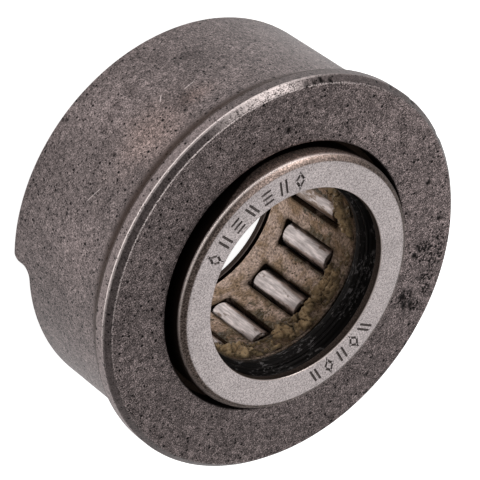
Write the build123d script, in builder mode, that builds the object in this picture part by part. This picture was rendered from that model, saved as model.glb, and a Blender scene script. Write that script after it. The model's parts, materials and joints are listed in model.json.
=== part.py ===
from build123d import *
import os
from math import cos, radians, sin

# Clutch pilot bearing: a caged needle-roller bearing with a rubber grease seal, pressed
# into a flanged sintered-iron housing. Millimetres. The bearing axis is Z. The origin is
# the centre of the housing's flat back face, and the flange is at the top (+Z) end.

# Housing
body_r = 17.5            # seat that is pressed into the crankshaft
housing_h = 15.6         # back face to flange face
flange_r = 18.45
flange_t = 1.8
flange_chamfer_r = 0.5   # radial leg of the bevel round the flange face
flange_chamfer_z = 0.6   # axial leg of the same bevel
back_chamfer = 0.2       # lead-in round the back of the seat
mouth_r = 12.6           # relief groove round the cup at the flange face
mouth_depth = 2.0
bore_chamfer = 0.5       # lead-in at the back of the cup bore

# Puller notches, an opposite pair across the back face, along X
notch_w = 13.0
notch_depth = 2.5
notch_corner_r = 1.0
notch_flare = 2.0        # how far the cutter's section reaches past the rounded edges

# Drawn cup
cup_r = 12.0
cup_back_z = 0.85
cup_front_z = 17.1
raceway_r = 11.05
lip_r = 9.0              # hole in both turned-in lips
front_lip_t = 0.8
back_lip_t = 0.6
cup_corner_r = 0.75
cup_inner_r = 0.25
lip_edge_r = 0.12

# Rollers
roller_count = 12
roller_r = 1.25
roller_len = 6.4
roller_edge_r = 0.3
roller_play = 0.02       # radial play between a roller and the raceway
first_roller_angle = 15.0

# Cage
cage_in_r = 8.75
cage_out_r = 10.8
cage_back_z = 2.05
cage_front_z = 13.75
cage_edge = 0.2
pocket_w = 2.6           # pocket that the roller turns in
pocket_len = 6.8
pocket_neck_w = 2.4      # narrower neck at the bore, which keeps the roller in
pocket_neck_r = 9.3      # radius where the pocket steps in to its neck
pocket_corner_r = 0.35
cut_margin = 1.0         # how far each pocket cut runs past the cage wall
cut_overlap = 0.1        # how far the neck cut runs into the pocket cut

# Seal
seal_lip_r = 8.55        # land that runs on the shaft
seal_back_z = 14.1
seal_land_z = 14.95      # top of the land
seal_front_z = 16.2
seal_throat_r = 9.3      # top of the seal's funnel, just outside the cup's lip
ridge_r = 8.78           # concentric ridge in the funnel
ridge_back_z = 15.1
ridge_front_z = 15.45
groove_r = 9.0
insert_in_r = 9.3        # flat steel ring bonded to the back of the rubber
insert_back_z = 14.15
insert_t = 0.5

# Derived
tolerance = 0.01         # for picking corners by their distance from the axis
insert_front_z = insert_back_z + insert_t
pitch_r = raceway_r - roller_play - roller_r
pocket_z = (cage_back_z + cage_front_z) / 2
flange_back_z = housing_h - flange_t
roller_angles = [first_roller_angle + 360 / roller_count * i for i in range(roller_count)]

os.makedirs("parts", exist_ok=True)


def save(part, name):
    part.label = name
    export_step(part, f"parts/{name}.step")


# Housing: one turned section, with the relief round the cup open at the flange face
with BuildPart() as housing:
    with BuildSketch(Plane.XZ):
        with BuildLine():
            Polyline(
                (cup_r + bore_chamfer, 0),
                (body_r - back_chamfer, 0),
                (body_r, back_chamfer),
                (body_r, flange_back_z),
                (flange_r, flange_back_z),
                (flange_r, housing_h - flange_chamfer_z),
                (flange_r - flange_chamfer_r, housing_h),
                (mouth_r, housing_h),
                (mouth_r, housing_h - mouth_depth),
                (cup_r, housing_h - mouth_depth),
                (cup_r, bore_chamfer),
                close=True,
            )
        make_face()
    revolve(axis=Axis.Z)
    # The slot runs right across the back face, so it makes both puller notches at once
    with BuildSketch(Plane.YZ):
        with BuildLine():
            Polyline(
                (-notch_w / 2 - notch_flare, 0),
                (-notch_w / 2, 0),
                (-notch_w / 2, notch_depth),
                (notch_w / 2, notch_depth),
                (notch_w / 2, 0),
                (notch_w / 2 + notch_flare, 0),
                (notch_w / 2 + notch_flare, -notch_flare),
                (-notch_w / 2 - notch_flare, -notch_flare),
                close=True,
            )
        make_face()
        fillet(vertices().filter_by(lambda v: abs(abs(v.X) - notch_w / 2) < tolerance), notch_corner_r)
    extrude(amount=flange_r, both=True, mode=Mode.SUBTRACT)
save(housing.part, "housing")

# Drawn cup: raceway sleeve with a lip turned in at each end
with BuildPart() as cup:
    with BuildSketch(Plane.XZ):
        with BuildLine():
            Polyline(
                (lip_r, cup_back_z),
                (cup_r, cup_back_z),
                (cup_r, cup_front_z),
                (lip_r, cup_front_z),
                (lip_r, cup_front_z - front_lip_t),
                (raceway_r, cup_front_z - front_lip_t),
                (raceway_r, cup_back_z + back_lip_t),
                (lip_r, cup_back_z + back_lip_t),
                close=True,
            )
        make_face()
        fillet(vertices().group_by(Axis.X)[-1], cup_corner_r)
        fillet(vertices().group_by(Axis.X)[0], lip_edge_r)
        fillet(vertices().filter_by(lambda v: abs(v.X - raceway_r) < tolerance), cup_inner_r)
    revolve(axis=Axis.Z)
save(cup.part, "cup")

# Rubber seal: a funnel with one concentric ridge, ending in the land on the shaft
with BuildPart() as seal_lip:
    with BuildSketch(Plane.XZ):
        with BuildLine():
            Polyline(
                (seal_lip_r, seal_back_z),
                (insert_in_r, seal_back_z),
                (insert_in_r, insert_front_z),
                (raceway_r, insert_front_z),
                (raceway_r, seal_front_z - cup_inner_r),
                (raceway_r - cup_inner_r, seal_front_z),
                (seal_throat_r, seal_front_z),
                (groove_r, ridge_front_z),
                (ridge_r, ridge_front_z),
                (ridge_r, ridge_back_z),
                (seal_lip_r, seal_land_z),
                close=True,
            )
        make_face()
    revolve(axis=Axis.Z)
save(seal_lip.part, "seal_lip")

# Steel stiffener ring behind the rubber
with BuildPart() as seal_insert:
    with BuildSketch(Plane.XY.offset(insert_back_z)):
        Circle(raceway_r)
        Circle(insert_in_r, mode=Mode.SUBTRACT)
    extrude(amount=insert_t)
save(seal_insert.part, "seal_insert")

# Cage: a plain ring with one stepped pocket for each roller
pocket_planes = [
    Plane(
        origin=(0, 0, pocket_z),
        x_dir=(-sin(radians(angle)), cos(radians(angle)), 0),
        z_dir=(cos(radians(angle)), sin(radians(angle)), 0),
    )
    for angle in roller_angles
]
with BuildPart() as cage:
    with BuildSketch(Plane.XY.offset(cage_back_z)):
        Circle(cage_out_r)
        Circle(cage_in_r, mode=Mode.SUBTRACT)
    extrude(amount=cage_front_z - cage_back_z)
    chamfer(edges().filter_by(GeomType.CIRCLE), cage_edge)
    with BuildSketch(*[plane.offset(pocket_neck_r) for plane in pocket_planes]):
        RectangleRounded(pocket_w, pocket_len, pocket_corner_r)
    extrude(amount=cage_out_r - pocket_neck_r + cut_margin, mode=Mode.SUBTRACT)
    with BuildSketch(*[plane.offset(cage_in_r - cut_margin) for plane in pocket_planes]):
        RectangleRounded(pocket_neck_w, pocket_len, pocket_corner_r)
    extrude(amount=pocket_neck_r + cut_overlap - cage_in_r + cut_margin, mode=Mode.SUBTRACT)
save(cage.part, "cage")

# Rollers: round-ended needles in the pockets, numbered round the cage
for number, angle in enumerate(roller_angles, start=1):
    with BuildPart() as roller:
        with PolarLocations(pitch_r, 1, start_angle=angle):
            with Locations((0, 0, pocket_z)):
                Cylinder(roller_r, roller_len)
        fillet(edges().filter_by(GeomType.CIRCLE), roller_edge_r)
    save(roller.part, f"roller_{number:02d}")
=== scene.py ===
import json
import math

import bmesh
import bpy
from mathutils import Matrix, Quaternion, Vector, noise


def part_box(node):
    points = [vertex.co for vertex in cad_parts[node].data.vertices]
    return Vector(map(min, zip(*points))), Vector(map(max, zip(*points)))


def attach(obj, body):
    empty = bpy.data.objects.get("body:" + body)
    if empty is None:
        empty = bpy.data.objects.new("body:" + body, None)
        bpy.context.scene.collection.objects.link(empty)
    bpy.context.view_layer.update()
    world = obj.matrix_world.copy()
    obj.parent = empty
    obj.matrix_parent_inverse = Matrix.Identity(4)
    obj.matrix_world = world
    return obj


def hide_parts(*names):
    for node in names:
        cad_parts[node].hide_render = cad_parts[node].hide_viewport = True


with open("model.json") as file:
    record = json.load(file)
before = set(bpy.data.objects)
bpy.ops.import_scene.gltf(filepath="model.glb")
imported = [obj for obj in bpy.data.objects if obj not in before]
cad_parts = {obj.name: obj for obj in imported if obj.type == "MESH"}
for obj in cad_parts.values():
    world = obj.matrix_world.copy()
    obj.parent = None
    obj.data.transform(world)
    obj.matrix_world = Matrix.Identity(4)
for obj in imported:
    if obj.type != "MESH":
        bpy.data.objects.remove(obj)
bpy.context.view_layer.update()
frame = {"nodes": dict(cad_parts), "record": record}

# All sizes are in millimetres in the row's frame until a mesh is made, and MM turns them
# into Blender's metres. The bearing axis is Z and the flange is at the top.
MM = 0.001


def box_mm(node):
    low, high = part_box(node)
    return low / MM, high / MM


def mount(name):
    return next(m for m in frame["record"]["mounts"] if m["name"] == name)


# Sizes read from the frame
housing_high = box_mm("housing")[1]
cup_low, cup_high = box_mm("cup")
cage_low, cage_high = box_mm("cage")
seal_low, seal_high = box_mm("seal_lip")
insert_high = box_mm("seal_insert")[1]
needle_low, needle_high = box_mm("roller_01")
FACE_Z = housing_high.z
FLANGE_R = housing_high.x
BODY_R = mount("crank_seat")["dims"]["r_mm"]
SHOULDER_Z = mount("flange_shoulder")["pos_m"][2] / MM
CUP_R = cup_high.x
CUP_BACK_Z, CUP_TOP_Z = cup_low.z, cup_high.z
CAGE_R = cage_high.x
RACEWAY_R = seal_high.x
LAND_R = mount("shaft_bore")["dims"]["r_mm"]
NEEDLE_R = (needle_high.x - needle_low.x) / 2
NEEDLE_LEN = needle_high.z - needle_low.z
POCKET_Z = (cage_low.z + cage_high.z) / 2

# Sizes that the boxes don't give
BEVEL_R, BEVEL_Z = 0.5, 0.6         # both legs of the bevel round the flange's face
BACK_BEVEL = 0.2
BORE_BEVEL = 0.5
CUP_PRESS = 0.01                    # gap that keeps the housing's bore off the cup's skin
MOUTH_R = 12.6
MOUTH_DEPTH = 2.0
NOTCH_W = 13.0
NOTCH_DEPTH = 2.5
NOTCH_CORNER = 1.0
LIP_R = 9.0
LIP_EDGE = 0.12
FRONT_LIP = 0.8
BACK_LIP = 0.6
CUP_CORNER = 0.75
CUP_INNER = 0.25
CORNER_LINE_Z = CUP_TOP_Z - 0.5     # height of the rubbed line with a painted highlight on the cup's corner
CAGE_BORE_R = 8.75
POCKET_W = 2.6
NECK_W = 2.4
NECK_R = 9.3
POCKET_LEN = 6.8
POCKET_CORNER = 0.35
NEEDLE_EDGE = 0.3
INSERT_BORE_R = 9.3
THROAT_R = INSERT_BORE_R + 0.05     # top of the seal's funnel
GROOVE_R, RIDGE_R = 9.0, 8.78
RIDGE_TOP_Z, RIDGE_FOOT_Z = 15.45, 15.15
LAND_EDGE = (8.92, 15.02)
LAND_TOP_Z = 14.75
FINE_RIDGE_PITCH = 0.42

needles = [name for name in sorted(frame["nodes"]) if name.startswith("roller_")]


def needle_centre(name):
    low, high = box_mm(name)
    return (low + high) / 2


def pocket_heading(name):
    centre = needle_centre(name)
    return math.degrees(math.atan2(centre.y, centre.x))


pocket_headings = [pocket_heading(name) for name in needles]


# ---------------------------------------------------------------- mesh helpers


def fillet_outline(corners, steps=6):
    """A closed outline through (r, z, fillet radius) corners, with each corner rounded."""
    outline = []
    count = len(corners)
    for i, (r, z, radius) in enumerate(corners):
        here = Vector((r, z))
        back = Vector(corners[i - 1][:2]) - here
        ahead = Vector(corners[(i + 1) % count][:2]) - here
        if radius <= 0:
            outline.append(here)
            continue
        half = back.angle(ahead) / 2
        reach = radius / math.tan(half)
        inward = (back.normalized() + ahead.normalized()).normalized()
        middle = here + inward * radius / math.sin(half)
        first = here + back.normalized() * reach - middle
        last = here + ahead.normalized() * reach - middle
        sweep = first.angle_signed(last)
        for step in range(steps + 1):
            outline.append(middle + rotated(first, -sweep * step / steps))
    return outline


def rotated(vector, angle):
    c, s = math.cos(angle), math.sin(angle)
    return Vector((c * vector.x - s * vector.y, s * vector.x + c * vector.y))


def divided(outline, longest):
    """The closed outline with its long runs cut into steps no longer than asked."""
    points = []
    for i, here in enumerate(outline):
        ahead = outline[(i + 1) % len(outline)]
        pieces = max(1, math.ceil((ahead - here).length / longest))
        points += [here.lerp(ahead, k / pieces) for k in range(pieces)]
    return points


def add_object(name, data):
    added = bpy.data.objects.new(name, data)
    bpy.context.scene.collection.objects.link(added)
    return added


def mesh_object(name, bm, soft=True):
    """The finished piece, from a mesh in millimetres, with smooth shading if it is soft."""
    bmesh.ops.recalc_face_normals(bm, faces=bm.faces)
    mesh = bpy.data.meshes.new(name)
    bm.to_mesh(mesh)
    bm.free()
    mesh.transform(Matrix.Scale(MM, 4))
    if soft:
        mesh.shade_smooth()
    return add_object(name, mesh)


def bridge(bm, ring, after):
    """Faces between two closed rings that have the same number of corners."""
    for i in range(len(ring)):
        j = (i + 1) % len(ring)
        bm.faces.new((ring[i], ring[j], after[j], after[i]))


def loft(bm, rings):
    """A closed skin along a row of rings, with a face over each end."""
    for ring, after in zip(rings, rings[1:]):
        bridge(bm, ring, after)
    bm.faces.new(rings[0])
    bm.faces.new(rings[-1])


def turned(name, outline, segments, shift=None):
    """A closed outline of (r, z) points turned round the Z axis. shift moves each point."""
    bm = bmesh.new()
    rings = []
    for k in range(segments):
        angle = 2 * math.pi * k / segments
        c, s = math.cos(angle), math.sin(angle)
        ring = []
        for r, z in outline:
            point = Vector((r * c, r * s, z))
            ring.append(bm.verts.new(shift(point) if shift else point))
        rings.append(ring)
    for k, ring in enumerate(rings):
        bridge(bm, ring, rings[(k + 1) % segments])
    return mesh_object(name, bm)


def cut(piece, cutter):
    """Takes the cutter out of the piece and deletes the cutter."""
    modifier = piece.modifiers.new("cut", "BOOLEAN")
    modifier.object = cutter
    modifier.operation = "DIFFERENCE"
    modifier.solver = "MANIFOLD"
    shape = bpy.context.evaluated_depsgraph_get()
    finished = bpy.data.meshes.new_from_object(piece.evaluated_get(shape))
    piece.modifiers.clear()
    piece.data = finished
    bpy.data.objects.remove(cutter)


def sharp_edges(piece, degrees):
    """Shades the piece smooth, but not over edges that turn by more than these degrees."""
    piece.data.shade_smooth()
    piece.data.set_sharp_from_angle(angle=math.radians(degrees))


# ---------------------------------------------------------------- material helpers


class Finish:
    """A node material whose patterns are laid out in millimetres in the row's frame."""

    def __init__(self, name, **sockets):
        self.material = bpy.data.materials.new(name)
        self.material.use_nodes = True
        self.tree = self.material.node_tree
        self.shader = self.tree.nodes["Principled BSDF"]
        coordinates = self.tree.nodes.new("ShaderNodeTexCoord")
        scale = self.tree.nodes.new("ShaderNodeMapping")
        scale.inputs["Scale"].default_value = (1 / MM, 1 / MM, 1 / MM)
        self.link(coordinates.outputs["Object"], scale.inputs["Vector"])
        self.place = scale.outputs["Vector"]
        axes = self.tree.nodes.new("ShaderNodeSeparateXYZ")
        self.link(self.place, axes.inputs["Vector"])
        self.height = axes.outputs["Z"]
        self.radius = self.length(axes.outputs["X"], axes.outputs["Y"])
        for socket, value in sockets.items():
            self.shader.inputs[socket.replace("_", " ")].default_value = value

    def link(self, source, target):
        self.tree.links.new(source, target)

    def fill(self, socket, value):
        if isinstance(value, bpy.types.NodeSocket):
            self.link(value, socket)
        else:
            socket.default_value = value

    def stretched(self, stretch):
        if stretch == (1, 1, 1):
            return self.place
        node = self.tree.nodes.new("ShaderNodeMapping")
        node.inputs["Scale"].default_value = stretch
        self.link(self.place, node.inputs["Vector"])
        return node.outputs["Vector"]

    def noise(self, size, detail=2.0, roughness=0.5, stretch=(1, 1, 1)):
        """Soft noise from 0 to 1 with features about size millimetres across."""
        node = self.tree.nodes.new("ShaderNodeTexNoise")
        node.inputs["Scale"].default_value = 1 / size
        node.inputs["Detail"].default_value = detail
        node.inputs["Roughness"].default_value = roughness
        self.link(self.stretched(stretch), node.inputs["Vector"])
        return node.outputs["Fac"]

    def dots(self, spacing, radius):
        """Round dots of this radius, scattered in space about this far apart."""
        node = self.tree.nodes.new("ShaderNodeTexVoronoi")
        node.inputs["Scale"].default_value = 1 / spacing
        self.link(self.place, node.inputs["Vector"])
        return self.band(node.outputs["Distance"], radius / spacing, 0.5 * radius / spacing)

    def math(self, operation, a, b=0.0):
        node = self.tree.nodes.new("ShaderNodeMath")
        node.operation = operation
        for socket, value in zip(node.inputs, (a, b)):
            self.fill(socket, value)
        return node.outputs["Value"]

    def both(self, *shares):
        """The product of several 0 to 1 values."""
        product = shares[0]
        for share in shares[1:]:
            product = self.math("MULTIPLY", product, share)
        return product

    def most(self, *shares):
        largest = shares[0]
        for share in shares[1:]:
            largest = self.math("MAXIMUM", largest, share)
        return largest

    def length(self, a, b):
        squares = [self.math("MULTIPLY", side, side) for side in (a, b)]
        return self.math("SQRT", self.math("ADD", *squares))

    def band(self, value, low, high):
        """0 below low, 1 above high and smooth between. Low above high turns it over."""
        node = self.tree.nodes.new("ShaderNodeMapRange")
        node.interpolation_type = "SMOOTHSTEP"
        turned_over = low > high
        self.link(value, node.inputs["Value"])
        node.inputs["From Min"].default_value = min(low, high)
        node.inputs["From Max"].default_value = max(low, high)
        node.inputs["To Min"].default_value = 1.0 if turned_over else 0.0
        node.inputs["To Max"].default_value = 0.0 if turned_over else 1.0
        return node.outputs["Result"]

    def near(self, r, z, reach):
        """1 on the circle at radius r and height z, fading to 0 at reach from it."""
        out = self.math("SUBTRACT", self.radius, r)
        up = self.math("SUBTRACT", self.height, z)
        distance = self.length(out, up)
        return self.band(distance, reach, reach * 0.3)

    def scratch(self, start, end, width):
        """1 along the straight scratch from start to end, and 0 past its width."""
        run = end - start
        offset = self.vector("SUBTRACT", self.place, start)
        aside = self.vector("LENGTH", self.vector("CROSS_PRODUCT", offset, run.normalized()))
        along = self.vector("DOT_PRODUCT", offset, run.normalized())
        from_middle = self.math("ABSOLUTE", self.math("SUBTRACT", along, run.length / 2))
        inside = self.band(from_middle, run.length / 2, run.length / 4)
        return self.both(self.band(aside, width, width * 0.4), inside)

    def vector(self, operation, a, b=(0, 0, 0)):
        node = self.tree.nodes.new("ShaderNodeVectorMath")
        node.operation = operation
        self.fill(node.inputs[0], a)
        self.fill(node.inputs[1], b)
        return node.outputs["Value" if operation in ("LENGTH", "DOT_PRODUCT") else "Vector"]

    def ramp(self, value, *stops):
        """A colour ramp of (position, (r, g, b)) stops."""
        node = self.tree.nodes.new("ShaderNodeValToRGB")
        elements = node.color_ramp.elements
        while len(elements) < len(stops):
            elements.new(0.5)
        for element, (position, colour) in zip(elements, stops):
            element.position = position
            element.color = (*colour, 1)
        self.link(value, node.inputs["Fac"])
        return node.outputs["Color"]

    def mix(self, share, a, b, blend="MIX"):
        node = self.tree.nodes.new("ShaderNodeMix")
        node.data_type = "RGBA"
        node.blend_type = blend
        self.fill(node.inputs["Factor"], share)
        for key, value in (("A", a), ("B", b)):
            socket = next(s for s in node.inputs if s.name == key and s.type == "RGBA")
            self.fill(socket, value if isinstance(value, bpy.types.NodeSocket) else (*value, 1))
        return next(s for s in node.outputs if s.type == "RGBA")

    def scaled(self, share, colour, factor):
        """The colour multiplied by factor where share is 1."""
        return self.mix(share, colour, self.mix(1.0, colour, factor, "MULTIPLY"))

    def attribute(self, name):
        node = self.tree.nodes.new("ShaderNodeAttribute")
        node.attribute_name = name
        return node.outputs["Fac"]

    def bump(self, height, depth, strength=1.0):
        """Bump from a 0 to 1 height that stands for depth millimetres."""
        node = self.tree.nodes.new("ShaderNodeBump")
        node.inputs["Strength"].default_value = strength
        node.inputs["Distance"].default_value = depth * MM
        self.link(height, node.inputs["Height"])
        self.link(node.outputs["Normal"], self.shader.inputs["Normal"])

    def drive(self, socket, value):
        self.link(value, self.shader.inputs[socket])


def paint(piece, finish):
    piece.data.materials.clear()
    piece.data.materials.append(finish.material)


def shades(tint, *stops):
    """Ramp stops of one tint, from (position, lightness) pairs."""
    return [(position, tuple(lightness * part for part in tint)) for position, lightness in stops]


def at(turn, r, z):
    """The point at this heading, radius and height."""
    angle = math.radians(turn)
    return Vector((r * math.cos(angle), r * math.sin(angle), z))


# ---------------------------------------------------------------- materials

# Tints, for shades()
NEUTRAL = (1.0, 1.0, 1.0)
IRON = (1.0, 0.815, 0.795)
STEEL = (1.0, 0.89, 0.88)
BROWN = (1.0, 0.76, 0.66)
CAGE_METAL = (1.0, 0.76, 0.64)
CAGE_FILM = (1.0, 0.70, 0.48)
GREASE = (1.0, 0.69, 0.39)
NEEDLE_STEEL = (1.0, 0.88, 0.85)

# Colours of bare metal, rubber and dirt, and of painted shade and highlights
BARE_IRON_AND_HIGHLIGHT = (0.68, 0.59, 0.57)
BARE_STEEL_AND_HIGHLIGHT = (0.95, 0.82, 0.77)
PIT_SHADE = (0.004, 0.003, 0.003)
DARK_OIL_AND_SHADE = (0.022, 0.014, 0.010)
OLD_OIL_AND_SHADE = (0.034, 0.021, 0.016)
RECESS_SHADE = (0.030, 0.021, 0.017)
BROWN_SPOT = (0.14, 0.11, 0.10)
OIL_BLOT = (0.11, 0.072, 0.050)
FRONT_END_DARK = (0.05, 0.033, 0.024)
SMEARED_GREASE = (0.15, 0.100, 0.066)
CRACK_SHADE = (0.014, 0.009, 0.005)
RUBBER = (0.0010, 0.0009, 0.0009)
DUST = (0.12, 0.11, 0.11)

# Bright scratches on the seat, as (heading, height) at both ends
SCRATCHES = [
    ((309.6, 7.8), (303.2, 8.8)),
    ((268.3, 8.3), (263.6, 8.1)),
    ((273.0, 7.05), (275.3, 7.8)),
]


def sintered_iron():
    f = Finish("sintered_iron", Metallic=1.0)
    grain = f.noise(0.13, detail=2.0, roughness=0.75)
    clump = f.noise(0.45, detail=2.0)
    cloud = f.noise(3.0, detail=3.0, roughness=0.6)
    mixed = f.math("ADD", f.math("MULTIPLY", grain, 0.75), f.math("MULTIPLY", clump, 0.25))
    skin = f.ramp(mixed, *shades(IRON, (0.36, 0.025), (0.45, 0.10), (0.54, 0.165), (0.66, 0.36)))
    coarse = shades(IRON, (0.37, 0.020), (0.46, 0.086), (0.54, 0.172), (0.64, 0.47))
    coarse_skin = f.ramp(mixed, *coarse)
    skin = f.mix(f.band(f.height, FACE_Z - 0.1, FACE_Z - 0.02), skin, coarse_skin)
    clouds = f.ramp(cloud, *shades(NEUTRAL, (0.30, 0.82), (0.70, 1.14)))
    skin = f.mix(1.0, skin, clouds, "MULTIPLY")
    skin = f.scaled(f.attribute("stain"), skin, (1.62, 1.50, 1.42))
    # Paler patches on the seat, and a painted sheen that lightens one side of the face
    skin = f.scaled(f.attribute("pale_and_sheen"), skin, (1.34, 1.33, 1.33))
    skin = f.scaled(f.attribute("soot"), skin, (0.45, 0.44, 0.44))

    # The turned rim and bevel are smoother than the sintered skin, and the bevel is darker with a
    # painted dark reflection
    rim = f.both(f.band(f.radius, FLANGE_R - 0.09, FLANGE_R - 0.04),
                 f.band(f.height, FACE_Z - BEVEL_Z, FACE_Z - BEVEL_Z - 0.05))
    bevel = f.both(f.band(f.radius, FLANGE_R - BEVEL_R, FLANGE_R - BEVEL_R + 0.06),
                   f.band(f.height, FACE_Z - BEVEL_Z, FACE_Z - BEVEL_Z + 0.06))
    turned_rim = f.ramp(mixed, *shades(IRON, (0.36, 0.11), (0.62, 0.30)))
    rim_share = f.both(rim, 0.75)
    # Painted shade on one side of the rim
    turned_rim = f.scaled(f.attribute("rim_shade"), turned_rim, (0.42, 0.42, 0.42))
    skin = f.mix(rim_share, skin, turned_rim)
    dark_reflecting_bevel = f.ramp(mixed, *shades(IRON, (0.36, 0.05), (0.62, 0.15)))
    skin = f.mix(f.both(bevel, 0.85), skin, dark_reflecting_bevel)

    # Pores, craters and nicks painted black: painted shade in the pits
    pinholes = f.most(f.dots(0.9, 0.17), f.dots(0.42, 0.10))
    pit = f.noise(0.30, detail=1.5)
    craters = f.both(f.most(f.dots(0.34, 0.17), f.band(pit, 0.565, 0.585)), f.attribute("pitted"))
    holes = f.most(pinholes, craters, f.attribute("nick_shade"))
    skin = f.mix(f.both(holes, 0.96), skin, PIT_SHADE)

    # Old oil and painted shade, dark in the corner under the flange and on the flange's back
    # edge, and painted shade down the mouth's groove
    creep = f.math("ADD", f.height, f.math("MULTIPLY", f.math("SUBTRACT", mixed, 0.5), 1.4))
    corner = f.both(f.band(creep, SHOULDER_Z - 1.9, SHOULDER_Z - 1.05),
                    f.band(f.height, SHOULDER_Z + 0.32, SHOULDER_Z + 0.16))
    groove = f.both(f.band(f.height, FACE_Z - 0.15, FACE_Z - 0.6),
                    f.band(f.radius, MOUTH_R + 0.3, MOUTH_R + 0.1))
    skin = f.mix(f.both(corner, 0.88), skin, OLD_OIL_AND_SHADE)
    skin = f.mix(groove, skin, DARK_OIL_AND_SHADE)

    # Bright lines on the edges, partly rubbed bare metal and partly painted highlight, a painted
    # highlight across a short stretch of the bevel, and bare bright metal in the scratches
    rough_edge = f.band(mixed, 0.34, 0.46)
    outer_line = f.both(f.near(FLANGE_R - 0.01, FACE_Z - BEVEL_Z + 0.02, 0.19),
                        f.attribute("scuffed_and_highlit"))
    face_line = f.both(f.near(FLANGE_R - BEVEL_R - 0.05, FACE_Z, 0.11),
                       f.attribute("rubbed_and_highlit"), f.band(grain, 0.38, 0.56))
    mouth_line = f.both(f.near(MOUTH_R, FACE_Z, 0.10), 0.3)
    hot = f.both(bevel, f.attribute("bevel_highlight"), f.band(mixed, 0.36, 0.56))
    scratches = f.most(*(
        f.scratch(at(turn, BODY_R, z), at(end_turn, BODY_R, end_z), 0.055)
        for (turn, z), (end_turn, end_z) in SCRATCHES
    ))
    lines = f.most(outer_line, face_line, mouth_line, hot)
    bright = f.most(f.both(lines, rough_edge), f.both(scratches, 0.55))
    skin = f.mix(bright, skin, BARE_IRON_AND_HIGHLIGHT)

    f.drive("Base Color", skin)
    f.drive("Roughness", f.math("SUBTRACT", 0.52, f.math("MULTIPLY", bright, 0.2)))
    f.bump(f.math("SUBTRACT", mixed, holes), 0.05, 0.6)
    return f


def drawn_steel():
    f = Finish("cup_steel", Metallic=1.0)
    fine = f.noise(0.14, detail=3.0, roughness=0.65)
    patch = f.noise(2.4, detail=3.0)
    clean = f.ramp(fine, *shades(STEEL, (0.36, 0.25), (0.5, 0.46), (0.64, 0.66)))
    patched = f.ramp(patch, *shades(NEUTRAL, (0.3, 0.88), (0.7, 1.08)))
    clean = f.mix(1.0, clean, patched, "MULTIPLY")
    clean = f.mix(f.both(f.dots(1.2, 0.11), 0.7), clean, BROWN_SPOT)
    browned = f.ramp(fine, *shades(BROWN, (0.36, 0.04), (0.5, 0.11), (0.66, 0.30)))

    on_face = f.both(f.band(f.radius, CUP_R - 0.48, CUP_R - 0.62),
                     f.band(f.height, CUP_TOP_Z - 0.16, CUP_TOP_Z - 0.06))
    on_back = f.band(f.height, CUP_BACK_Z + 0.1, CUP_BACK_Z + 0.02)
    skin = f.mix(f.most(on_face, f.both(on_back, 0.7)), browned, clean)

    # The wall's painted shade in the groove ends lower where light reaches down into it, and
    # there the wall and corner are painted lighter
    lit_share = f.attribute("lit_cup_side")
    wall_line = f.math("SUBTRACT", f.height, f.math("MULTIPLY", lit_share, -1.2))
    wall = f.both(f.band(wall_line, CORNER_LINE_Z + 0.05, CORNER_LINE_Z - 0.2),
                  f.band(f.radius, CUP_R - 0.2, CUP_R - 0.08))
    lit_steel = f.ramp(fine, *shades(BROWN, (0.32, 0.16), (0.5, 0.42), (0.64, 0.85)))
    skin = f.mix(f.both(lit_share, f.band(f.radius, CUP_R - 0.6, CUP_R - 0.4)), skin, lit_steel)
    # Painted shade in the lip's bore, over the back lip and in the stamped strokes
    lip_bore = f.both(f.band(f.radius, LIP_R + 0.08, LIP_R + 0.03), 0.75)
    back_lip = f.both(f.band(f.height, CUP_BACK_Z + 2.0, CUP_BACK_Z + 1.0),
                      f.band(f.height, CUP_BACK_Z + 0.02, CUP_BACK_Z + 0.1))
    stamped = f.both(
        f.band(f.height, CUP_TOP_Z - 0.012, CUP_TOP_Z - 0.045),
        f.band(f.radius, LIP_R + 0.15, LIP_R + 0.22),
        f.band(f.radius, CUP_R - 0.7, CUP_R - 0.8),
    )
    skin = f.mix(f.most(wall, lip_bore, back_lip, f.both(stamped, 0.75)), skin, RECESS_SHADE)

    # Painted highlights on the cup's corner, partly rubbed metal, and on the edges of both lips
    corner_line = f.both(f.near(CUP_R - 0.05, CORNER_LINE_Z, 0.22),
                         f.attribute("rubbed_and_highlit"), f.band(fine, 0.3, 0.44))
    lip_line = f.both(f.near(LIP_R + 0.03, CUP_TOP_Z - 0.03, 0.09), 0.7)
    back_line = f.both(f.near(LIP_R, CUP_BACK_Z + BACK_LIP, 0.10), 0.5)
    bright = f.most(corner_line, lip_line, back_line)
    skin = f.mix(bright, skin, BARE_STEEL_AND_HIGHLIGHT)

    f.drive("Base Color", skin)
    f.drive("Roughness", f.math("SUBTRACT", 0.44, f.math("MULTIPLY", bright, 0.18)))
    f.bump(fine, 0.02, 0.5)
    return f


def seal_rubber():
    f = Finish("seal_rubber", Specular_IOR_Level=0.13, Specular_Tint=(1.0, 0.9, 0.86, 1))
    grain = f.noise(0.2, detail=4.0, roughness=0.7)
    dust = f.noise(0.3, detail=4.0, roughness=0.7, stretch=(0.6, 0.6, 2.0))
    patch = f.noise(1.6, detail=2.0)
    dusty = f.both(f.band(dust, 0.54, 0.60), f.band(patch, 0.46, 0.6))
    f.drive("Base Color", f.mix(dusty, RUBBER, DUST))
    f.drive("Roughness", f.math("ADD", 0.30, f.math("MULTIPLY", grain, 0.3)))
    f.bump(grain, 0.05, 0.6)
    return f


def insert_steel():
    f = Finish("insert_steel", Metallic=1.0)
    fine = f.noise(0.2, detail=3.0)
    f.drive("Base Color", f.ramp(fine, *shades(STEEL, (0.3, 0.2), (0.7, 0.35))))
    f.drive("Roughness", f.math("ADD", 0.35, f.math("MULTIPLY", fine, 0.2)))
    return f


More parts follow.
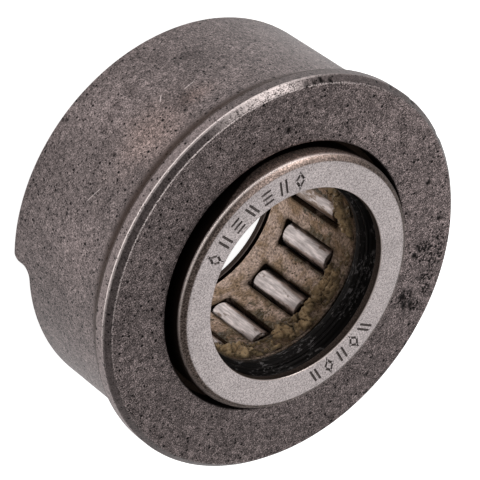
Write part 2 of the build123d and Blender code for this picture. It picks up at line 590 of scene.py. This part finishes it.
def cage_steel():
    f = Finish("cage_steel", Metallic=0.85,
               Specular_IOR_Level=0.3, Specular_Tint=(1.0, 0.8, 0.6, 1))
    fine = f.noise(0.22, detail=4.0, roughness=0.7)
    film = f.noise(1.4, detail=3.0, roughness=0.6)
    metal = f.ramp(fine, *shades(CAGE_METAL, (0.36, 0.14), (0.5, 0.38), (0.64, 0.68)))
    oily = f.ramp(fine, *shades(CAGE_FILM, (0.36, 0.10), (0.64, 0.40)))
    skin = f.mix(f.band(film, 0.40, 0.62), metal, oily)
    front_end = f.band(f.height, cage_high.z - 5.0, cage_high.z - 1.0)
    skin = f.scaled(front_end, skin, (0.56, 0.55, 0.52))
    # Oil at the edges of the pockets, and painted shade on the pocket walls
    skin = f.mix(f.both(f.attribute("pocket_oil_and_shade"), f.band(film, 0.25, 0.5)), skin, DARK_OIL_AND_SHADE)
    specks = f.both(f.band(fine, 0.62, 0.70), f.band(film, 0.45, 0.62))
    skin = f.mix(f.both(f.most(f.dots(0.9, 0.14), specks), 0.8), skin, DARK_OIL_AND_SHADE)
    f.drive("Base Color", skin)
    f.drive("Roughness", f.math("ADD", 0.22, f.math("MULTIPLY", fine, 0.3)))
    f.bump(f.math("ADD", fine, film), 0.14, 0.8)
    return f


def grease():
    f = Finish("grease", Specular_IOR_Level=0.55, Specular_Tint=(1.0, 0.8, 0.5, 1))
    lump = f.noise(0.9, detail=4.0, roughness=0.6)
    dirt = f.noise(0.3, detail=3.0, roughness=0.7)
    raised = f.math("MULTIPLY", f.attribute("crest"), 0.3)
    shape = f.math("ADD", raised, f.math("MULTIPLY", lump, 0.75))
    colour = f.ramp(shape, *shades(GREASE, (0.28, 0.03), (0.50, 0.20), (0.75, 0.60)))
    colour = f.mix(f.both(f.band(dirt, 0.56, 0.68), 0.8), colour, DARK_OIL_AND_SHADE)
    # Painted shade in the cracks of the grease
    colour = f.mix(f.attribute("crack_shade"), colour, CRACK_SHADE)
    f.drive("Base Color", colour)
    f.drive("Roughness", f.math("ADD", 0.12, f.math("MULTIPLY", dirt, 0.35)))
    wrinkle = f.noise(0.35, detail=4.0, roughness=0.7)
    f.bump(f.math("ADD", lump, f.math("ADD", dirt, wrinkle)), 0.16, 0.9)
    return f


def needle_steel():
    f = Finish("roller_steel", Metallic=1.0)
    streak = f.noise(0.5, detail=2.5, roughness=0.6, stretch=(1.7, 1.7, 0.3))
    blot = f.noise(0.9, detail=4.0, roughness=0.65, stretch=(1.3, 1.3, 0.5))
    steel = f.ramp(streak, *shades(NEEDLE_STEEL, (0.32, 0.30), (0.5, 0.49), (0.64, 0.72)))
    skin = f.mix(f.both(f.band(blot, 0.57, 0.65), 0.8), steel, OIL_BLOT)
    # Darker blotches at the front end of each needle
    skin = f.mix(f.both(f.attribute("front"), f.band(blot, 0.3, 0.5)), skin, FRONT_END_DARK)
    smear = f.both(f.attribute("greased"), f.band(blot, 0.44, 0.56), 0.85)
    skin = f.mix(smear, skin, SMEARED_GREASE)
    f.drive("Base Color", skin)
    f.drive("Roughness", f.math("ADD", 0.2, f.math("MULTIPLY", streak, 0.25)))
    f.bump(streak, 0.02, 0.4)
    return f


# ---------------------------------------------------------------- pieces


def set_attribute(piece, measure):
    """Stores what measure says of every point, from 0 to 1, under the function's own name."""
    layer = piece.data.attributes.new(measure.__name__, "FLOAT", "POINT")
    layer.data.foreach_set("value", [measure(v.co / MM) for v in piece.data.vertices])


def smooth(low, high, value):
    share = min(1.0, max(0.0, (value - low) / (high - low)))
    return share * share * (3 - 2 * share)


def heading(point):
    return math.degrees(math.atan2(point.y, point.x)) % 360


def apart(a, b):
    """Degrees between two headings, from 0 to 180."""
    return abs((a - b + 180) % 360 - 180)


# Nicks and pits big enough to be real hollows: heading, radius, height, reach and depth
NICKS = [
    (244, FLANGE_R - 0.4, FACE_Z - 0.1, 0.36, 0.16),
    (241.5, FLANGE_R - 0.4, FACE_Z - 0.1, 0.28, 0.14),
    (239, FLANGE_R - 0.3, FACE_Z - 0.2, 0.34, 0.16),
    (236, FLANGE_R - 0.4, FACE_Z - 0.1, 0.26, 0.12),
    (213, FLANGE_R, FACE_Z - 0.4, 0.35, 0.16),
    (203, FLANGE_R, FACE_Z - 0.3, 0.45, 0.15),
    (186, FLANGE_R, FACE_Z - 0.6, 0.60, 0.08),
    (132, 14.5, FACE_Z, 0.45, 0.14),
    (129, 15.1, FACE_Z, 0.35, 0.12),
    (134, 15.3, FACE_Z, 0.30, 0.12),
    (130, 15.9, FACE_Z, 0.40, 0.12),
    (148, 14.3, FACE_Z, 0.35, 0.12),
    (150, 15.9, FACE_Z, 0.30, 0.12),
    (160, 16.6, FACE_Z, 0.30, 0.10),
    (175, 15.8, FACE_Z, 0.35, 0.10),
    (104, 16.2, FACE_Z, 0.30, 0.10),
    (250, 14.3, FACE_Z, 0.35, 0.08),
    (294, BODY_R, 0.8, 0.25, 0.08),
    (315.3, BODY_R, 6.2, 0.22, 0.06),
    (294.2, BODY_R, 8.0, 0.22, 0.06),
]


def in_nick(point, turn, r, z, reach):
    """How far inside a nick a point is: 0 at its edge and 1 in its middle."""
    return max(0.0, 1 - ((point - at(turn, r, z)).length / reach) ** 2)


def nicked(point):
    """The housing's point, moved in where a nick or the skin's unevenness takes it."""
    outward = Vector((point.x, point.y, 0)).normalized()
    inward = -outward if point.z < FACE_Z - 0.05 else Vector((0, 0, -1))
    depth = 0.0
    if outward.dot(point) > MOUTH_R + 0.2:
        depth = -0.012 * noise.noise(point * 0.35) - 0.008 * noise.noise(point * 1.3)
    ragged = 0.75 + 0.5 * noise.noise(point * 4.0)
    for turn, r, z, reach, deepest in NICKS:
        depth += deepest * ragged * in_nick(point, turn, r, z, reach)
    return point + inward * max(depth, 0.0)


def nick_shade(point):
    """The painted shade inside the nicks."""
    inside = max(in_nick(point, turn, r, z, reach) for turn, r, z, reach, deepest in NICKS)
    return smooth(0.15, 0.6, inside)


def make_housing():
    outline = fillet_outline([
        (CUP_R + BORE_BEVEL, 0, 0.06),
        (BODY_R - BACK_BEVEL, 0, 0.12),
        (BODY_R, BACK_BEVEL, 0.15),
        (BODY_R, SHOULDER_Z, 0.22),
        (FLANGE_R, SHOULDER_Z, 0.15),
        (FLANGE_R, FACE_Z - BEVEL_Z, 0.12),
        (FLANGE_R - BEVEL_R, FACE_Z, 0.10),
        (MOUTH_R, FACE_Z, 0.16),
        (MOUTH_R, FACE_Z - MOUTH_DEPTH, 0.10),
        (CUP_R + CUP_PRESS, FACE_Z - MOUTH_DEPTH, 0),
        (CUP_R + CUP_PRESS, BORE_BEVEL, 0),
    ], steps=4)
    piece = turned("housing_detail", divided(outline, longest=0.30), segments=600, shift=nicked)
    cut(piece, notch_cutter())
    sharp_edges(piece, degrees=40)
    return piece


def notch_cutter():
    """The slot across the back face, with rounded corners at its floor and its mouth."""
    half = NOTCH_W / 2
    past = 2            # how far the cutter runs past what it cuts
    mouth = -0.0001     # just under the back face, so that no two faces meet
    section = fillet_outline([
        (-half - past, -past, 0),
        (half + past, -past, 0),
        (half + past, mouth, 0),
        (half, mouth, NOTCH_CORNER),
        (half, NOTCH_DEPTH, NOTCH_CORNER),
        (-half, NOTCH_DEPTH, NOTCH_CORNER),
        (-half, mouth, NOTCH_CORNER),
        (-half - past, mouth, 0),
    ], steps=8)
    bm = bmesh.new()
    reach = FLANGE_R + past
    loft(bm, [[bm.verts.new((x, y, z)) for y, z in section] for x in (-reach, reach)])
    return mesh_object("notch_cutter", bm, soft=False)


def rubbed_and_highlit(point):
    """How much the face's outer edge and the cup's corner are rubbed bright and carry a painted
    highlight, on one side.
    """
    return 0.1 + 0.9 * smooth(0, 1, 1.2 * (1 - apart(heading(point), 278) / 80))


def scuffed_and_highlit(point):
    """How much the corner between the rim and the bevel is rubbed bright and carries a painted
    highlight.
    """
    return 0.05 + 0.95 * smooth(0, 1, 1.6 * (1 - apart(heading(point), 290) / 62))


def rim_shade(point):
    """The part of the rim painted darker, as painted shade against the lamps' light there."""
    return smooth(85, 72, apart(heading(point), 190))


def lit_cup_side(point):
    """The side of the cup where light reaches down the wall, painted lighter well below its
    corner.
    """
    return smooth(0, 1, 1.3 * (1 - apart(heading(point), 250) / 45))


def bevel_highlight(point):
    """The short stretch of the bevel with a painted highlight right across."""
    return 0.8 * smooth(0, 1, 1.5 * (1 - apart(heading(point), 259) / 19))


# Clusters of small craters on the flange face: heading, radius and reach
CRATERS = [
    (149, 15.3, 1.2),
    (147, 16.6, 1.1),
    (152, 16.8, 0.8),
    (140, 16.4, 0.8),
    (136, 16.8, 0.6),
    (132, 14.7, 0.9),
    (130, 16.4, 0.7),
]


def pitted(point):
    """How far inside a cluster of craters a point of the face is."""
    if point.z < FACE_Z - 0.2:
        return 0.0
    inside = 0.0
    for turn, r, reach in CRATERS:
        inside = max(inside, smooth(1.3, 0.7, (point - at(turn, r, FACE_Z)).length / reach))
    return inside


# Patches on the seat's skin: heading, height, reach round and reach up
STAINS = [(284, 9.8, 3.0, 2.4), (268, 9.6, 1.4, 0.9)]
PALE = [(284, 4.0, 3.2, 2.2), (322, 9.0, 2.5, 3.0)]
SOOT = [
    (277.3, 4.4, 0.5, 0.7),
    (283.0, 4.3, 0.35, 0.6),
    (286.5, 4.6, 0.35, 0.6),
    (289.7, 5.2, 0.4, 0.5),
    (271, 9.4, 1.4, 1.2),
    (257.5, 4.7, 1.1, 0.7),
]


def patches(spots, point):
    """How far inside any of the patches a point of the seat is, from 0 to 1."""
    if point.z > SHOULDER_Z or math.hypot(point.x, point.y) < BODY_R - 0.2:
        return 0.0
    angle = heading(point)
    inside = 0.0
    for turn, z, around, up in spots:
        aside = math.radians(apart(angle, turn)) * BODY_R / around
        uneven = 1 + 0.5 * noise.noise(point * 0.6)
        inside = max(inside, math.exp(-(aside ** 2 + ((point.z - z) / up) ** 2) * uneven))
    return inside


def stain(point):
    """The warm, lighter stains on the seat."""
    return patches(STAINS, point)


def pale_and_sheen(point):
    """The cleaner skin, in patches on the seat, and a painted sheen on one side of the face."""
    one_side = smooth(75, 20, apart(heading(point), 180))
    on_face = smooth(FACE_Z - 0.1, FACE_Z - 0.02, point.z) * one_side
    return max(on_face, patches(PALE, point))


def soot(point):
    """The dark scars and smudges on the seat."""
    return 0.9 * patches(SOOT, point)


def make_cup():
    outline = fillet_outline([
        (LIP_R, CUP_BACK_Z, LIP_EDGE),
        (CUP_R, CUP_BACK_Z, CUP_CORNER),
        (CUP_R, CUP_TOP_Z, CUP_CORNER),
        (LIP_R, CUP_TOP_Z, LIP_EDGE),
        (LIP_R, CUP_TOP_Z - FRONT_LIP, LIP_EDGE),
        (RACEWAY_R, CUP_TOP_Z - FRONT_LIP, CUP_INNER),
        (RACEWAY_R, CUP_BACK_Z + BACK_LIP, CUP_INNER),
        (LIP_R, CUP_BACK_Z + BACK_LIP, LIP_EDGE),
    ], steps=8)
    piece = turned("cup_detail", divided(outline, longest=0.5), segments=480)
    cut(piece, stamp_cutter())
    sharp_edges(piece, degrees=35)
    return piece


# Generic stamped marks: strokes from (along, out) to (along, out), in millimetres, round
# the middle of the mark. They are shapes, not letters or figures.
MARKS = {
    "lozenge": [
        ((0, 0.62), (0.42, 0)),
        ((0.42, 0), (0, -0.62)),
        ((0, -0.62), (-0.42, 0)),
        ((-0.42, 0), (0, 0.62)),
    ],
    "bars": [((-0.28, 0.6), (-0.28, -0.6)), ((0.28, 0.6), (0.28, -0.6))],
    "steps": [((-0.4, 0.52), (0.4, 0.52)), ((-0.4, 0), (0.4, 0)), ((-0.4, -0.52), (0.4, -0.52))],
    "slash": [((-0.42, -0.58), (-0.05, 0.58)), ((0.05, -0.58), (0.42, 0.58))],
}

# Each row's marks, with the heading of its middle and the degrees between its marks
ROWS = [
    (["lozenge", "bars", "steps", "slash", "steps", "bars", "lozenge"], 278.0, 9.6),
    (["slash", "lozenge", "bars", "lozenge", "slash"], 99.0, 8.6),
]
MARK_R = 10.2
STROKE_R = 0.12


def stamp_cutter():
    """Round-ended strokes sunk in the cup's face, for both rows of marks."""
    bm = bmesh.new()
    for row, middle, pitch in ROWS:
        for i, mark in enumerate(row):
            angle = math.radians(middle + (i - (len(row) - 1) / 2) * pitch)
            out = Vector((math.cos(angle), math.sin(angle), 0))
            along = Vector((-out.y, out.x, 0))
            for start, end in MARKS[mark]:
                places = [out * (MARK_R + p[1]) + along * p[0] for p in (start, end)]
                add_stroke(bm, *places)
    return mesh_object("stamp_cutter", bm, soft=False)


def add_stroke(bm, start, end):
    """One capsule lying along the cup's face, half sunk in it."""
    run = end - start
    middle = (start + end) / 2
    middle.z = CUP_TOP_Z + 0.01
    made = bmesh.ops.create_uvsphere(bm, u_segments=10, v_segments=8, radius=STROKE_R)["verts"]
    for vert in made:
        vert.co.z += math.copysign(run.length / 2, vert.co.z) if abs(vert.co.z) > 1e-6 else 0
    turn = Vector((0, 0, 1)).rotation_difference(run).to_matrix().to_4x4()
    bmesh.ops.transform(bm, matrix=Matrix.Translation(middle) @ turn, verts=made)


def make_seal():
    """The seal, with fine concentric ridges moulded in its funnel."""
    outline = fillet_outline([
        (LAND_R, seal_low.z, 0.12),
        (INSERT_BORE_R, seal_low.z, 0),
        (INSERT_BORE_R, insert_high.z, 0),
        (RACEWAY_R, insert_high.z, 0),
        (RACEWAY_R, seal_high.z - CUP_INNER, 0),
        (RACEWAY_R - CUP_INNER, seal_high.z, 0),
        (THROAT_R, seal_high.z, 0.1),
        (GROOVE_R, RIDGE_TOP_Z, 0.06),
        (RIDGE_R, RIDGE_TOP_Z, 0.09),
        (RIDGE_R, RIDGE_FOOT_Z, 0.09),
        (*LAND_EDGE, 0.06),
        (LAND_R, LAND_TOP_Z, 0.15),
    ], steps=4)
    piece = turned("seal_detail", divided(outline, longest=0.07), segments=360, shift=ridged)
    sharp_edges(piece, degrees=50)
    return piece


def ridged(point):
    """The funnel's point, moved by the fine ridges between the land and the throat."""
    r = math.hypot(point.x, point.y)
    if r > THROAT_R or not LAND_TOP_Z + 0.05 <= point.z <= seal_high.z - 0.05:
        return point
    depth = 0.016 * (1 + math.sin(2 * math.pi * point.z / FINE_RIDGE_PITCH))
    uneven = 1 + 1.2 * noise.noise(point * 1.1)
    wider = 1 + depth * uneven / r
    return Vector((point.x * wider, point.y * wider, point.z))


def make_cage():
    outline = fillet_outline([
        (CAGE_BORE_R, cage_low.z, 0.22),
        (CAGE_R, cage_low.z, 0.2),
        (CAGE_R, cage_high.z, 0.2),
        (CAGE_BORE_R, cage_high.z, 0.22),
    ], steps=5)
    piece = turned("cage_detail", divided(outline, longest=0.4), segments=360)
    cut(piece, pocket_cutters())
    sharp_edges(piece, degrees=35)
    return piece


def from_pocket(angle, z):
    """Millimetres round the cage's bore to the nearest pocket's edge, below zero inside it."""
    near = min(apart(math.degrees(angle), turn) for turn in pocket_headings)
    aside = math.radians(near) * CAGE_BORE_R - NECK_W / 2
    above = abs(z - POCKET_Z) - POCKET_LEN / 2
    return max(aside, above)


def pocket_oil_and_shade(point):
    """The oil that darkens the edge of every pocket, and painted shade on the pocket's own walls.
    """
    return smooth(0.5, 0.05, from_pocket(math.atan2(point.y, point.x), point.z))


def pocket_cutters():
    """One stepped plug for each pocket, flared a little where it breaks into the bore."""
    past = 0.6
    flare = 0.16
    # Radius, and how much wider than the neck the plug is there
    levels = [
        (CAGE_BORE_R - past, flare),
        (CAGE_BORE_R - 0.04, flare),
        (CAGE_BORE_R + 0.10, 0.0),
        (NECK_R, 0.0),
        (NECK_R + 0.001, POCKET_W - NECK_W),
        (CAGE_R + past, POCKET_W - NECK_W),
    ]
    bm = bmesh.new()
    for name in needles:
        centre = needle_centre(name)
        out = Vector((centre.x, centre.y, 0)).normalized()
        along = Vector((-out.y, out.x, 0))
        rings = []
        for r, wider in levels:
            half_w = (NECK_W + wider) / 2
            half_l = (POCKET_LEN + wider * 0.6) / 2
            section = fillet_outline([
                (-half_w, -half_l, POCKET_CORNER),
                (half_w, -half_l, POCKET_CORNER),
                (half_w, half_l, POCKET_CORNER),
                (-half_w, half_l, POCKET_CORNER),
            ], steps=5)
            points = [out * r + along * w + Vector((0, 0, POCKET_Z + h)) for w, h in section]
            rings.append([bm.verts.new(point) for point in points])
        loft(bm, rings)
    return mesh_object("pocket_cutters", bm, soft=False)


def make_needle(name):
    """A round-ended needle, turned at the origin and then set in its pocket."""
    half = NEEDLE_LEN / 2
    side = fillet_outline([
        (0, -half, 0),
        (NEEDLE_R, -half, NEEDLE_EDGE),
        (NEEDLE_R, half, NEEDLE_EDGE),
        (0, half, 0),
    ], steps=6)[1:-1]
    bm = bmesh.new()
    segments = 56
    turns = [2 * math.pi * k / segments for k in range(segments)]
    rings = []
    for r, z in side:
        rings.append([bm.verts.new((r * math.cos(a), r * math.sin(a), z)) for a in turns])
    loft(bm, rings)
    bmesh.ops.translate(bm, verts=bm.verts, vec=needle_centre(name))
    piece = mesh_object(f"needle_{name[-2:]}", bm)
    sharp_edges(piece, degrees=40)
    return piece


def front(point):
    """The front end of a needle, which is painted darker in blotches."""
    end = POCKET_Z + NEEDLE_LEN / 2
    return smooth(end - 0.35, end - 0.05, point.z)


GREASED_HEADING = 165


def greased(point):
    """The one needle that still has old grease smeared over it."""
    return smooth(20, 12, apart(heading(point), GREASED_HEADING))


GREASE_STEP = 0.085     # grid of the grease's mesh
GREASE_DEPTH = 0.62     # how far a lump of grease can stand in from the cage's bore


def creased(place):
    """0 along the winding cracks in the grease and 1 away from them."""
    across = noise.noise(place * 0.9)
    along = noise.noise(place * 0.9 + Vector((5, 1, 3)))
    warp = Vector((across, along, 0)) * 0.5
    crack = abs(noise.noise((place + warp) * 0.6 + Vector((11, 4, 2))))
    return smooth(0.0, 0.07, crack)


def grease_height(place):
    """How far the grease stands in from the cage's bore. Below zero there is none."""
    ridge = noise.fractal(place * 0.45, 0.7, 2.0, 4)
    lump = noise.fractal(place * 1.3 + Vector((7, 3, 1)), 0.8, 2.0, 4)
    crumb = abs(noise.noise(Vector((place.x, place.y, place.z * 1.8)) * 1.9))
    bank_back = smooth(cage_high.z - 3.6, cage_high.z - 2.0, place.z)
    bank_front = smooth(cage_high.z - 0.7, cage_high.z - 0.15, place.z)
    bars = 0.35 * smooth(cage_low.z + 1.0, cage_high.z - 3.0, place.z)
    cover = max(bank_back - bank_front, bars)
    heap = max(0.0, 0.28 + 0.8 * ridge + 0.45 * lump + 0.5 * crumb)
    sunk = 0.45 + 0.55 * creased(place)
    return GREASE_DEPTH * (cover * heap * sunk - 0.10)


def crack_shade(point):
    """The painted shade in the cracks of the grease."""
    return (1 - creased(point)) * smooth(cage_low.z + 0.5, cage_low.z + 3.0, point.z)


def crest(point):
    """The tops of the lumps of grease."""
    return smooth(0.0, 0.35, CAGE_BORE_R - math.hypot(point.x, point.y))


def make_grease():
    """Lumps of old grease over the cage's bore, left open over the pockets."""
    rim = 0.2   # bare strip at each end of the cage
    around = round(2 * math.pi * CAGE_BORE_R / GREASE_STEP)
    rows = round((cage_high.z - cage_low.z - 2 * rim) / GREASE_STEP)
    bm = bmesh.new()
    grid = []
    for i in range(rows + 1):
        z = cage_low.z + rim + i * GREASE_STEP
        line = []
        for k in range(around):
            angle = 2 * math.pi * k / around
            c, s = math.cos(angle), math.sin(angle)
            clear = from_pocket(angle, z) - 0.04
            if clear <= 0:
                line.append(None)
                continue
            height = grease_height(Vector((CAGE_BORE_R * c, CAGE_BORE_R * s, z)))
            stand = height * smooth(-0.02, 0.25, clear) - 0.05 * smooth(0.1, 0.0, clear)
            r = CAGE_BORE_R - stand
            line.append(bm.verts.new((r * c, r * s, z)))
        grid.append(line)
    for lower, upper in zip(grid, grid[1:]):
        for k in range(around):
            j = (k + 1) % around
            corners = (lower[k], lower[j], upper[j], upper[k])
            if None not in corners:
                bm.faces.new(corners)
    loose = [v for v in bm.verts if not v.link_faces]
    bmesh.ops.delete(bm, geom=loose, context="VERTS")
    return mesh_object("grease_detail", bm)


# ---------------------------------------------------------------- build and paint

ROOT = "housing_assembly"
housing = make_housing()
for measure in (rubbed_and_highlit, scuffed_and_highlit, rim_shade, bevel_highlight, pitted, nick_shade, stain, pale_and_sheen, soot):
    set_attribute(housing, measure)
paint(housing, sintered_iron())
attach(housing, ROOT)
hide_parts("housing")

cup = make_cup()
set_attribute(cup, rubbed_and_highlit)
set_attribute(cup, lit_cup_side)
paint(cup, drawn_steel())
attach(cup, ROOT)
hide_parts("cup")

seal = make_seal()
paint(seal, seal_rubber())
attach(seal, ROOT)
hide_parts("seal_lip")

paint(frame["nodes"]["seal_insert"], insert_steel())

cage = make_cage()
set_attribute(cage, pocket_oil_and_shade)
paint(cage, cage_steel())
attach(cage, "cage")
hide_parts("cage")

old_grease = make_grease()
set_attribute(old_grease, crack_shade)
set_attribute(old_grease, crest)
paint(old_grease, grease())
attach(old_grease, "cage")

needle_finish = needle_steel()
for name in needles:
    needle = make_needle(name)
    set_attribute(needle, front)
    set_attribute(needle, greased)
    paint(needle, needle_finish)
    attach(needle, name)
    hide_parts(name)


# ---------------------------------------------------------------- floor, light and camera


def make_floor():
    half = 1.5          # metres
    gap = 0.00002       # metres, so that the floor and the back face don't meet
    mesh = bpy.data.meshes.new("floor")
    corners = [(-half, -half, 0), (half, -half, 0), (half, half, 0), (-half, half, 0)]
    mesh.from_pydata(corners, [], [(0, 1, 2, 3)])
    floor = add_object("floor", mesh)
    floor.location.z = -gap
    finish = Finish("pale_floor", Roughness=0.9, Emission_Strength=0.90)
    finish.shader.inputs["Base Color"].default_value = (0.9, 0.9, 0.9, 1)
    finish.shader.inputs["Emission Color"].default_value = (1, 1, 1, 1)
    paint(floor, finish)


# The camera that was fitted to the photo, with angles in degrees and the rest in mm
VIEW_HEADING = -66.14
VIEW_HEIGHT = 43.38
VIEW_ROLL = 125.79
VIEW_DISTANCE = 264.2
VIEW_AIM = Vector((1.17, -3.24, 11.86))
LENS = 233.8
SENSOR_WIDTH = 36


def direction(turn, rise):
    turn, rise = math.radians(turn), math.radians(rise)
    level = math.cos(rise)
    return Vector((level * math.cos(turn), level * math.sin(turn), math.sin(rise)))


def make_camera():
    back = direction(VIEW_HEADING, VIEW_HEIGHT)
    roll = Quaternion((0, 0, 1), math.radians(VIEW_ROLL))
    camera = add_object("camera", bpy.data.cameras.new("camera"))
    camera.data.lens = LENS
    camera.data.sensor_width = SENSOR_WIDTH
    camera.data.clip_start = 0.01
    camera.rotation_mode = "QUATERNION"
    camera.rotation_quaternion = back.to_track_quat("Z", "Y") @ roll
    camera.location = (VIEW_AIM + back * VIEW_DISTANCE) * MM
    bpy.context.scene.camera = camera


def make_light(name, turn, rise, distance, size, power):
    """A round softbox aimed at the middle of the needles. distance and size are in metres."""
    lamp = bpy.data.lights.new(name, "AREA")
    lamp.shape = "DISK"
    lamp.size = size
    lamp.energy = power
    light = add_object(name, lamp)
    away = direction(turn, rise)
    light.location = away * distance + Vector((0, 0, POCKET_Z * MM))
    light.rotation_euler = away.to_track_quat("Z", "Y").to_euler()


make_floor()
make_camera()
make_light("far_softbox", VIEW_HEADING + 180, VIEW_HEIGHT, distance=0.6, size=0.6, power=0.66)
make_light("top_softbox", 200, 75, distance=0.6, size=0.4, power=0.4)
make_light("side_softbox", VIEW_HEADING - 75, 22, distance=0.6, size=0.3, power=0.8)

world = bpy.data.worlds.new("studio")
world.use_nodes = True
world.node_tree.nodes["Background"].inputs["Color"].default_value = (1, 1, 1, 1)
world.node_tree.nodes["Background"].inputs["Strength"].default_value = 0.35
bpy.context.scene.world = world
bpy.context.scene.view_settings.view_transform = "Standard"
